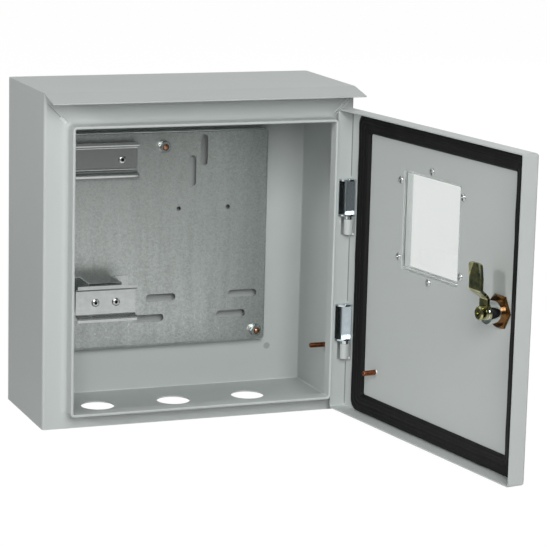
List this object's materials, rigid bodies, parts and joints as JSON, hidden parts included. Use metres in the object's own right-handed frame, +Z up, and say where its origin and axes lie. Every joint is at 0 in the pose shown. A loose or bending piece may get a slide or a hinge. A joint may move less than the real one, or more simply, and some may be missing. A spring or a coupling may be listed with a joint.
{
  "type": "electric meter box",
  "caption": "Wall-mounted sheet-steel meter box with a rain hood, a hinged door that has a raised window, a seal and a cam lock, and a slotted mounting plate with rails inside.",
  "frame": {"origin": "middle of the four wall-fixing holes, on the back face", "axes": "+X to the right seen from the front, +Y back towards the wall, +Z up"},
  "size_m": [0.3389, 0.4252, 0.31],
  "materials": {
    "painted_steel": "light grey powder coat, satin",
    "galvanised_sheet": "galvanised sheet, fine spangle",
    "zinc_plated_rail": "bright zinc plate",
    "copper_plated_stud": "thin copper plate",
    "zinc_plated_fastener": "zinc plate",
    "aluminium_rivet": "plain aluminium",
    "seal_rubber": "black foam rubber",
    "clear_pane": "clear moulded plastic",
    "hinge_zinc": "bright zinc plate",
    "lock_chrome": "bright chrome",
    "yellow_zinc": "yellow passivated zinc plate"
  },
  "bodies": {
    "body": {"body_wrap": "painted_steel", "top_frame": "painted_steel", "floor_panel": "painted_steel", "roof_panel": "painted_steel", "upper_hinge_knuckle": "painted_steel", "lower_hinge_knuckle": "painted_steel", "mounting_plate": "galvanised_sheet", "plate_studs": "copper_plated_stud", "plate_washers": "zinc_plated_fastener", "plate_spring_washers": "zinc_plated_fastener", "plate_nuts": "zinc_plated_fastener", "upper_din_rail": "zinc_plated_rail", "upper_rail_rivets": "aluminium_rivet", "rail_bracket": "zinc_plated_rail", "lower_din_rail": "zinc_plated_rail", "lower_rail_rivets": "aluminium_rivet", "body_earth_stud": "copper_plated_stud"},
    "door": {"door_panel": "painted_steel", "door_gasket": "seal_rubber", "window_pane": "clear_pane", "window_rivets": "aluminium_rivet", "hinge_washers": "hinge_zinc", "door_earth_stud": "copper_plated_stud", "lock_housing": "lock_chrome", "lock_nut": "yellow_zinc", "upper_hinge_bracket": "hinge_zinc", "lower_hinge_bracket": "hinge_zinc", "upper_hinge_pin": "hinge_zinc", "lower_hinge_pin": "hinge_zinc"},
    "cam": {"lock_plug": "lock_chrome", "lock_cam": "yellow_zinc", "cam_spring_washer": "yellow_zinc", "cam_screw": "yellow_zinc"}
  },
  "joints": [
    {"name": "door_swing", "type": "hinge", "parent": "body", "child": "door", "pos_m": [0.1403, -0.1385, 0], "axis": [0, 0, 1], "range_deg": [-98.4, 4]},
    {"name": "cam_turn", "type": "hinge", "parent": "door", "child": "cam", "pos_m": [0.16934, -0.37965, -0.003], "axis": [-0.9893, -0.1461, 0], "range_deg": [-90, 0]}
  ]
}
